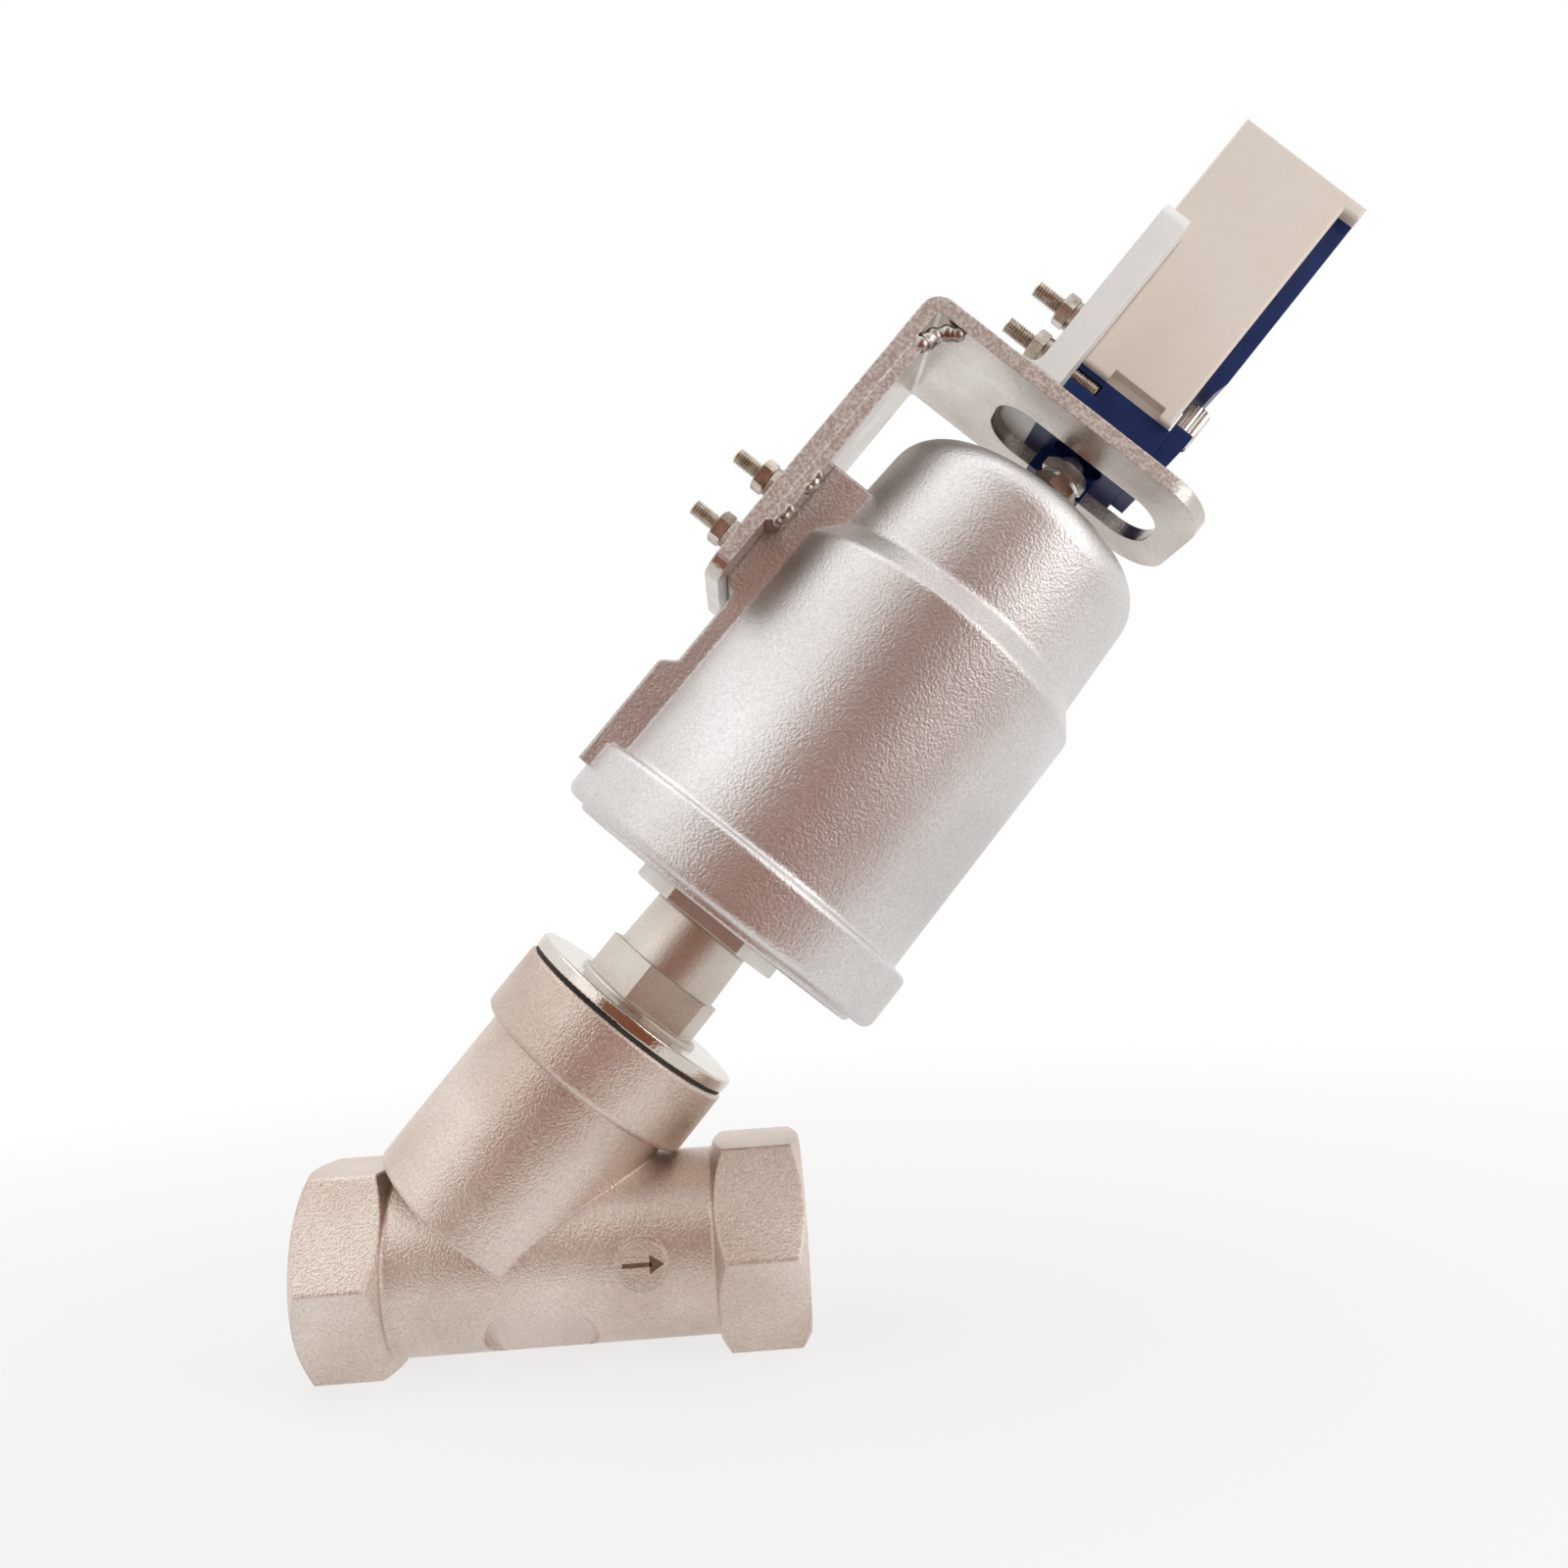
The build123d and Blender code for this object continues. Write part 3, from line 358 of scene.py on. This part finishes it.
def flat_bar(x_low, x_high, height):
    """A thin bar of the mark on the front of the boss."""
    bpy.ops.object.select_all(action="DESELECT")
    bpy.ops.mesh.primitive_cube_add(size=1, location=((x_low + x_high) / 2, boss_front, arrow_z))
    bpy.context.object.scale = (x_high - x_low, mark_thick, height)
    bpy.ops.object.transform_apply(location=True, rotation=True, scale=True)
    return bpy.context.object


arrow_shaft = flat_bar(arrow_x - 0.0041, arrow_x + 0.0018, 0.0009)
bpy.ops.object.mode_set(mode="EDIT")
bpy.ops.mesh.bevel(offset=0.00002, segments=1)
bpy.ops.object.mode_set(mode="OBJECT")
arrow_head = flat_bar(arrow_x + 0.0014, arrow_x + 0.0042, 0.0038)
bpy.ops.object.mode_set(mode="EDIT")
bpy.ops.mesh.select_all(action="DESELECT")
bpy.ops.object.mode_set(mode="OBJECT")
for corner in arrow_head.data.vertices:
    corner.select = corner.co.x > arrow_x + 0.002
bpy.ops.object.mode_set(mode="EDIT")
bpy.ops.transform.resize(value=(1, 1, 0.05))
bpy.ops.object.mode_set(mode="OBJECT")
arrow_head.select_set(True)
arrow_shaft.select_set(True)
bpy.context.view_layer.objects.active = arrow_shaft
bpy.ops.object.join()
flow_arrow = bpy.context.object
flow_arrow.name = "flow_arrow"
arrow_ink = finish(
    "brown_mark", 0.55, grain=(2500, 0.00004, 0.4, 0.00002),
    cloud=400, dark=(0.15, 0.075, 0.04), light=(0.22, 0.12, 0.07), speckle=0.3, metallic=0.0,
)
flow_arrow.data.materials.append(arrow_ink)
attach(flow_arrow, "valve")

# Gasket and bonnet: a thin dark ring, and over it a turned piece with a polished disc and a satin hexagon.
# Outside a set distance from the stem's axis the finish turns from blasted to polished.
gasket = finish(
    "dark_gasket", 0.8, grain=(2500, 0.0001, 0.5, 0.0001),
    cloud=300, dark=(0.025, 0.022, 0.02), light=(0.05, 0.045, 0.04), metallic=0.0,
)
dress(gasket, "bonnet_gasket")

stem_way = Vector(frame["joints"][0]["axis"]).normalized()
coil_end = Vector(frame["joints"][0]["deforming_nodes"][0]["fixed_end_m"])
coil_end_height = 0.2013
across_way = Vector((-stem_way.z, 0, stem_way.x))


def at(height, out, y):
    """The place at a height up the stem's line, a distance out from it and a distance across, in metres."""
    foot = coil_end - stem_way * coil_end_height
    return foot + stem_way * height + across_way * out + Vector((0, y, 0))


bonnet_satin = finish(
    "bonnet_satin_and_polish", 0.4, grain=(1700, 0.00012, 0.5, 0.0005),
    cloud=60, dark=(0.66, 0.58, 0.50), light=(0.76, 0.70, 0.64),
)
polish_from_r = 0.0150
tree = bonnet_satin.node_tree
coordinates = tree.nodes.new("ShaderNodeTexCoord")
from_axis = tree.nodes.new("ShaderNodeVectorMath")
from_axis.operation = "SUBTRACT"
from_axis.inputs[1].default_value = coil_end
tree.links.new(coordinates.outputs["Object"], from_axis.inputs[0])
turned_out = tree.nodes.new("ShaderNodeVectorMath")
turned_out.operation = "CROSS_PRODUCT"
turned_out.inputs[1].default_value = stem_way
tree.links.new(from_axis.outputs["Vector"], turned_out.inputs[0])
distance = tree.nodes.new("ShaderNodeVectorMath")
distance.operation = "LENGTH"
tree.links.new(turned_out.outputs["Vector"], distance.inputs[0])
rim = tree.nodes.new("ShaderNodeMapRange")
rim.inputs["From Min"].default_value = polish_from_r
rim.inputs["From Max"].default_value = polish_from_r + 0.0006
rim.inputs["To Min"].default_value = 0.42
rim.inputs["To Max"].default_value = 0.10
tree.links.new(distance.outputs["Value"], rim.inputs["Value"])
tree.links.new(rim.outputs["Result"], tree.nodes["Principled BSDF"].inputs["Roughness"])
dress(bonnet_satin, "bonnet")

# Lock nut, base and housing of the actuator: a large thin nut, a cast base and one deep cast cup.
# The cup is blasted like the body, and its skin is greyer.
nut_satin = finish(
    "lock_nut_satin", 0.4, grain=(1700, 0.00012, 0.5, 0.0005),
    cloud=60, dark=(0.66, 0.62, 0.57), light=(0.80, 0.77, 0.73),
)
dress(nut_satin, "lock_nut")

cup_cast = finish(
    "grey_blasted_casting", 0.41, grain=(1700, 0.00022, 0.65, 0.0010),
    cloud=18, dark=(0.73, 0.69, 0.67), light=(0.88, 0.865, 0.855), speckle=0.20,
)
dress(cup_cast, "actuator_housing", "base_plate")
air_wall_r, air_bore_r, air_pitch, air_thread_len = 0.0045, 0.0043, 0.000907, 0.00816
air_mouth = at(0.1186, 0.0419, 0)
tapped_thread("air_thread", air_mouth, -across_way, air_wall_r, air_bore_r, air_pitch, air_thread_len)

# Bent bracket with its brace: thick plate, bright on its faces and left brown where it was sawn.
# The sawn edges face the front and the back, so the brown follows the way that the surface faces.
plated = finish(
    "bright_plate_sawn_edge", 0.26, grain=(1300, 0.00012, 0.45, 0.0005, 3.0),
    cloud=45, dark=(0.50, 0.44, 0.39), light=(0.74, 0.69, 0.645), speckle=0.15,
)
tree = plated.node_tree
shader = tree.nodes["Principled BSDF"]
plain_tint = shader.inputs["Base Color"].links[0].from_socket
coordinates = tree.nodes.new("ShaderNodeTexCoord")
surface_way = tree.nodes.new("ShaderNodeNewGeometry")
split_way = tree.nodes.new("ShaderNodeSeparateXYZ")
tree.links.new(surface_way.outputs["True Normal"], split_way.inputs[0])
to_edge = tree.nodes.new("ShaderNodeMath")
to_edge.operation = "ABSOLUTE"
tree.links.new(split_way.outputs["Y"], to_edge.inputs[0])
sawn = tree.nodes.new("ShaderNodeMapRange")
sawn.inputs["From Min"].default_value = 0.90
sawn.inputs["From Max"].default_value = 0.97
tree.links.new(to_edge.outputs[0], sawn.inputs["Value"])
streaks = tree.nodes.new("ShaderNodeTexNoise")
streaks.inputs["Scale"].default_value = 1400
streaks.inputs["Detail"].default_value = 3
tree.links.new(coordinates.outputs["Object"], streaks.inputs["Vector"])
browns = tree.nodes.new("ShaderNodeValToRGB")
browns.color_ramp.elements[0].position = 0.40
browns.color_ramp.elements[1].position = 0.62
browns.color_ramp.elements[0].color = (0.60, 0.52, 0.47, 1)
browns.color_ramp.elements[1].color = (0.92, 0.88, 0.85, 1)
tree.links.new(streaks.outputs["Fac"], browns.inputs["Fac"])
edge_mix = tree.nodes.new("ShaderNodeMix")
edge_mix.data_type = "RGBA"
tree.links.new(sawn.outputs["Result"], edge_mix.inputs[0])
tree.links.new(plain_tint, edge_mix.inputs["A"])
tree.links.new(browns.outputs["Color"], edge_mix.inputs["B"])
tree.links.new(edge_mix.outputs["Result"], shader.inputs["Base Color"])
dull_edge = tree.nodes.new("ShaderNodeMapRange")
dull_edge.inputs["To Min"].default_value = 1.0
dull_edge.inputs["To Max"].default_value = 0.45
tree.links.new(sawn.outputs["Result"], dull_edge.inputs["Value"])
tree.links.new(dull_edge.outputs["Result"], shader.inputs["Metallic"])
dress(plated, "l_bracket", "brace_bar")

# Upright tab: steel plate drawn near white and barely metallic, so that the whole tab shows as bright as its
# lit front. This is a painted highlight over the whole tab.
upright_tab_painted_highlight = finish(
    "upright_plate_painted_highlight", 0.45, grain=(1300, 0.00008, 0.4, 0.0006),
    cloud=40, dark=(0.93, 0.92, 0.90), light=(0.98, 0.98, 0.97), speckle=0.04, metallic=0.2,
)
dress(upright_tab_painted_highlight, "upright_tab")

# Weld beads: small overlapping drops of weld where the brace meets the leg and the bend of the bracket.
# Each is laid as a row of drops that are melted into one lump.
weld_skin = finish(
    "weld_skin", 0.3, grain=(900, 0.0003, 0.6, 0.0002),
    cloud=500, dark=(0.28, 0.22, 0.18), light=(0.75, 0.70, 0.66), speckle=0.2,
)
leg_in = 0.0422
# Each drop has its height, its depth from the leg's inner face, its place across and its radius, in mm.
bead_rows = {
    "weld_at_bend": [
        (214.0, 1.6, -23.5, 1.9),
        (215.8, 2.0, -22.6, 2.1),
        (217.6, 2.4, -22.2, 2.1),
        (219.8, 4.2, -22.5, 2.0),
        (220.8, 6.2, -22.9, 1.7),
    ],
    "weld_at_foot": [(165.0, 2.0, -23.6, 1.3), (166.8, 2.4, -23.4, 1.4), (168.7, 2.3, -23.6, 1.3)],
    "weld_at_middle": [(174.5, 2.5, -23.6, 1.3), (176.2, 2.7, -23.3, 1.5), (178.1, 2.6, -23.6, 1.3)],
}
for name, drops in bead_rows.items():
    bpy.ops.object.select_all(action="DESELECT")
    lumps = []
    for height, depth, y, size in drops:
        place = at(height / 1000, leg_in - depth / 1000, y / 1000)
        bpy.ops.mesh.primitive_ico_sphere_add(subdivisions=3, radius=size / 1000, location=place)
        lumps.append(bpy.context.object)
    for lump in lumps:
        lump.select_set(True)
    bpy.context.view_layer.objects.active = lumps[0]
    bpy.ops.object.join()
    weld = bpy.context.object
    weld.name = name
    bpy.ops.object.transform_apply(location=True, rotation=True, scale=True)
    melt = weld.modifiers.new("melt", "REMESH")
    melt.mode = "VOXEL"
    melt.voxel_size = 0.00028
    bpy.ops.object.modifier_apply(modifier="melt")
    relax = weld.modifiers.new("relax", "SMOOTH")
    relax.iterations = 4
    bpy.ops.object.modifier_apply(modifier="relax")
    bpy.ops.object.shade_smooth()
    weld.data.materials.append(weld_skin)
    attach(weld, "valve")

# Studs: M4 rod with a rolled thread, two in the side of the actuator and two in the switch.
# Each has a root and a crest for every turn of its thread, and runs on inside what it is screwed into.
thread_pitch = 0.0007
stud_r = 0.00198
thread_steel = finish(
    "threaded_steel", 0.3, grain=(2600, 0.00006, 0.4, 0.0001),
    cloud=500, dark=(0.52, 0.45, 0.36), light=(0.80, 0.75, 0.68), speckle=0.2,
)
pad_stud_heights = (0.1618, 0.1618 + 0.0154)
tab_bolt_heights = (0.23675, 0.23675 + 0.01085)
tab_bolt_y = -0.008
stud_rows = (
    ("pad_studs", pad_stud_heights, 0.0, leg_in - 0.0085, 0.0270),
    ("tab_bolts", tab_bolt_heights, tab_bolt_y, 0.0060, 0.0253),
)
for node, heights, y, inner_end, length in stud_rows:
    for number, height in enumerate(heights):
        stud = threaded_rod(f"{node}_{number + 1}", length, stud_r, stud_r * 0.8, thread_pitch, 20)
        stand(stud, at(height, inner_end, y), across_way)
        stud.data.materials.append(thread_steel)
        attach(stud, "valve")
        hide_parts(node)

# Nuts: hexagon nuts with turned corners, a nut and a lock nut on each pad stud and one on each tab bolt.
# A nut is a hexagon cut by a turned outline, and the thread's hole is cut through it.
def hexagon_nut(name, across, height, bore_r):
    """A nut with its given width across flats, standing on the origin."""
    bpy.ops.object.select_all(action="DESELECT")
    middle = (0, 0, height / 2)
    bpy.ops.mesh.primitive_cylinder_add(vertices=6, radius=across / 3**0.5, depth=height, location=middle)
    nut = bpy.context.object
    nut.name = name
    bpy.ops.object.transform_apply(location=True, rotation=True, scale=True)
    bpy.ops.object.select_all(action="DESELECT")
    slope = across * 0.06
    turned_r = across * 0.585
    straight = height - 2 * slope
    bpy.ops.mesh.primitive_cylinder_add(vertices=48, radius=turned_r, depth=straight, location=middle)
    outline = bpy.context.object
    bpy.ops.object.transform_apply(location=True, rotation=True, scale=True)
    for end in (1, -1):
        bpy.ops.object.mode_set(mode="EDIT")
        bpy.ops.mesh.select_all(action="DESELECT")
        bpy.ops.object.mode_set(mode="OBJECT")
        for face in outline.data.polygons:
            face.select = face.normal.z * end > 0.9
        bpy.context.tool_settings.mesh_select_mode = (False, False, True)
        bpy.ops.object.mode_set(mode="EDIT")
        bpy.ops.mesh.extrude_region_move(TRANSFORM_OT_translate={"value": (0, 0, end * (slope + 0.00001))})
        bpy.ops.transform.resize(value=(0.80, 0.80, 1))
        bpy.ops.object.mode_set(mode="OBJECT")
    cut_with(nut, outline, "INTERSECT")
    bpy.ops.object.select_all(action="DESELECT")
    bpy.ops.mesh.primitive_cylinder_add(vertices=32, radius=bore_r, depth=height * 3, location=middle)
    hole = bpy.context.object
    bpy.ops.object.transform_apply(location=True, rotation=True, scale=True)
    cut_with(nut, hole, "DIFFERENCE")
    bpy.context.view_layer.objects.active = nut
    nut.select_set(True)
    bpy.ops.object.shade_smooth_by_angle(angle=radians(20))
    return nut


nut_steel = finish(
    "nut_steel", 0.27, grain=(1800, 0.00008, 0.4, 0.00015),
    cloud=300, dark=(0.42, 0.35, 0.28), light=(0.72, 0.66, 0.58), speckle=0.15,
)
leg_out = 0.0457
tab_out = 0.0190
washers_t = 0.0021
small_af, small_h, small_bore_r = 0.007, 0.0032, 0.00195
nut_rows = (
    ("pad_nuts", pad_stud_heights, 0.0, leg_out + washers_t, 2),
    ("tab_nuts", tab_bolt_heights, tab_bolt_y, tab_out + washers_t, 1),
)
for node, heights, y, seat, layers in nut_rows:
    for number, height in enumerate(heights):
        for layer in range(layers):
            nut = hexagon_nut(f"{node}_{number + 1}{'ab'[layer]}", small_af, small_h, small_bore_r)
            stand(nut, at(height, seat + layer * small_h, y), across_way, 20 + 25 * layer)
            nut.data.materials.append(nut_steel)
            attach(nut, "valve")
            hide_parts(node)

# Washers: flat rings, and split spring rings over them, of the same steel as the nuts.
# They are stamped and rolled, so they are duller than the nuts.
washer_steel = finish(
    "washer_steel", 0.34, grain=(2200, 0.00006, 0.4, 0.00012),
    cloud=300, dark=(0.48, 0.42, 0.36), light=(0.74, 0.70, 0.64), speckle=0.15,
)
dress(washer_steel, "pad_washers", "pad_spring_washers", "tab_washers", "tab_spring_washers")

# Nuts on the indicator rod: two locked against each other, with the bright flag held between them.
# They ride up and down with the stem.
trip_af, trip_h, trip_bore_r = 0.010, 0.0032, 0.00305
low_nut_height, flag_t = 0.2146, 0.001
for layer, height in enumerate((low_nut_height, low_nut_height + trip_h + flag_t)):
    nut = hexagon_nut(f"trip_nut_{layer + 1}", trip_af, trip_h, trip_bore_r)
    stand(nut, at(height, 0, 0), stem_way, 12)
    nut.data.materials.append(nut_steel)
    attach(nut, "stem_group")
    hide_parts("trip_nuts")

bright_rod = finish(
    "bright_turned_rod", 0.16, grain=(3000, 0.00003, 0.3, 0.0001),
    cloud=200, dark=(0.66, 0.65, 0.64), light=(0.80, 0.79, 0.78), speckle=0.05,
)
dress(bright_rod, "indicator_rod", "trip_flag")

# Switch can: folded from satin sheet with a beige-grey coat, open towards the side arm.
# The coat is smooth and only a little metallic, with faint clouds in it.
can_paint = finish(
    "can_satin_sheet", 0.48, grain=(2400, 0.00004, 0.35, 0.0005),
    cloud=35, dark=(0.86, 0.76, 0.67), light=(0.90, 0.81, 0.73), speckle=0.06, metallic=0.15,
)
dress(can_paint, "switch_can")

# Blue mouldings: the base under the can with its two prongs, the side arm and its foot.
# They are glass-filled plastic in dark blue, with a faint mould grain and a soft gloss.
blue = finish(
    "dark_blue_moulding", 0.34, grain=(2200, 0.00004, 0.4, 0.0004),
    cloud=120, dark=(0.008, 0.024, 0.115), light=(0.013, 0.037, 0.155), speckle=0.2, metallic=0.0,
)
blue.node_tree.nodes["Principled BSDF"].inputs["Specular IOR Level"].default_value = 0.25
dress(blue, "switch_base", "side_arm", "arm_foot")

# Knurled screw: a small bright screw between the arm and the foot, its rim pressed into ridges.
# Every second line of its rim is drawn in, and its ends are dished a little.
def knurled_screw(name, radius, length, ridges):
    """A screw with its given number of ridges, standing on the origin."""
    bpy.ops.object.select_all(action="DESELECT")
    middle = (0, 0, length / 2)
    bpy.ops.mesh.primitive_cylinder_add(vertices=2 * ridges, radius=radius, depth=length, location=middle)
    screw = bpy.context.object
    screw.name = name
    bpy.ops.object.transform_apply(location=True, rotation=True, scale=True)
    bpy.ops.object.mode_set(mode="EDIT")
    bpy.ops.mesh.select_all(action="DESELECT")
    bpy.ops.object.mode_set(mode="OBJECT")
    bpy.context.tool_settings.mesh_select_mode = (False, False, True)
    for face in screw.data.polygons:
        face.select = abs(face.normal.z) > 0.9
    bpy.ops.object.mode_set(mode="EDIT")
    bpy.ops.mesh.inset(thickness=radius * 0.16, depth=-length * 0.03)
    bpy.ops.mesh.select_all(action="DESELECT")
    bpy.ops.object.mode_set(mode="OBJECT")
    bpy.context.tool_settings.mesh_select_mode = (True, False, False)
    for point in screw.data.vertices:
        spoke = round(atan2(point.co.y, point.co.x) / (pi / ridges))
        point.select = spoke % 2 == 0 and (point.co.x**2 + point.co.y**2) ** 0.5 > radius * 0.95
    bpy.ops.object.mode_set(mode="EDIT")
    bpy.ops.transform.resize(value=(0.90, 0.90, 1))
    bpy.ops.object.mode_set(mode="OBJECT")
    bpy.ops.object.shade_smooth_by_angle(angle=radians(12))
    return screw


trim = finish(
    "bright_trim", 0.2, grain=(2600, 0.00006, 0.4, 0.0002),
    cloud=300, dark=(0.62, 0.57, 0.50), light=(0.84, 0.81, 0.76), speckle=0.1,
)
screw_r, screw_len, screw_ridges = 0.0028, 0.0096, 18
screw = knurled_screw("knurled_screw", screw_r, screw_len, screw_ridges)
stand(screw, at(0.2427, -0.0151, 0), stem_way)
screw.data.materials.append(trim)
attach(screw, "valve")
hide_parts("adjusting_screw")
dress(trim, "base_screws")

# Inner pieces, out of sight in use: turned stem and plug, bronze bushes, springs, piston and seals.
inner = finish(
    "turned_inner_steel", 0.22, grain=(2500, 0.00004, 0.3, 0.0002),
    cloud=80, dark=(0.62, 0.62, 0.63), light=(0.74, 0.74, 0.75), speckle=0.05,
)
dress(inner, "stem", "plug_holder", "plug_washer", "packing_follower", "plug_nut", "piston_nut")

coil_steel = finish(
    "oiled_spring_steel", 0.35, grain=(2000, 0.00005, 0.4, 0.0002),
    cloud=150, dark=(0.30, 0.30, 0.32), light=(0.45, 0.45, 0.47), speckle=0.15,
)
dress(coil_steel, "main_spring_outer", "main_spring_inner", "packing_spring")

piston_alloy = finish(
    "turned_alloy", 0.33, grain=(1800, 0.00004, 0.3, 0.0003),
    cloud=60, dark=(0.66, 0.67, 0.68), light=(0.76, 0.77, 0.78), speckle=0.05,
)
dress(piston_alloy, "piston")

bronze = finish(
    "bearing_bronze", 0.3, grain=(2400, 0.00005, 0.4, 0.0002),
    cloud=120, dark=(0.55, 0.36, 0.16), light=(0.72, 0.52, 0.27), speckle=0.1,
)
dress(bronze, "guide_bush", "gland_bush", "rod_bush")

polymer = finish(
    "white_filled_polymer", 0.5, grain=(1800, 0.00004, 0.4, 0.0002),
    cloud=90, dark=(0.80, 0.80, 0.76), light=(0.88, 0.88, 0.85), speckle=0.05, metallic=0.0,
)
dress(polymer, "seat_disc", "packing_rings", "piston_guide_band")

rubber = finish(
    "black_seal_rubber", 0.6, grain=(2200, 0.00005, 0.5, 0.0002),
    cloud=150, dark=(0.015, 0.015, 0.015), light=(0.035, 0.035, 0.035), speckle=0.2, metallic=0.0,
)
dress(rubber, "base_o_ring", "stem_seal", "rod_seal", "stem_o_ring", "piston_seal")
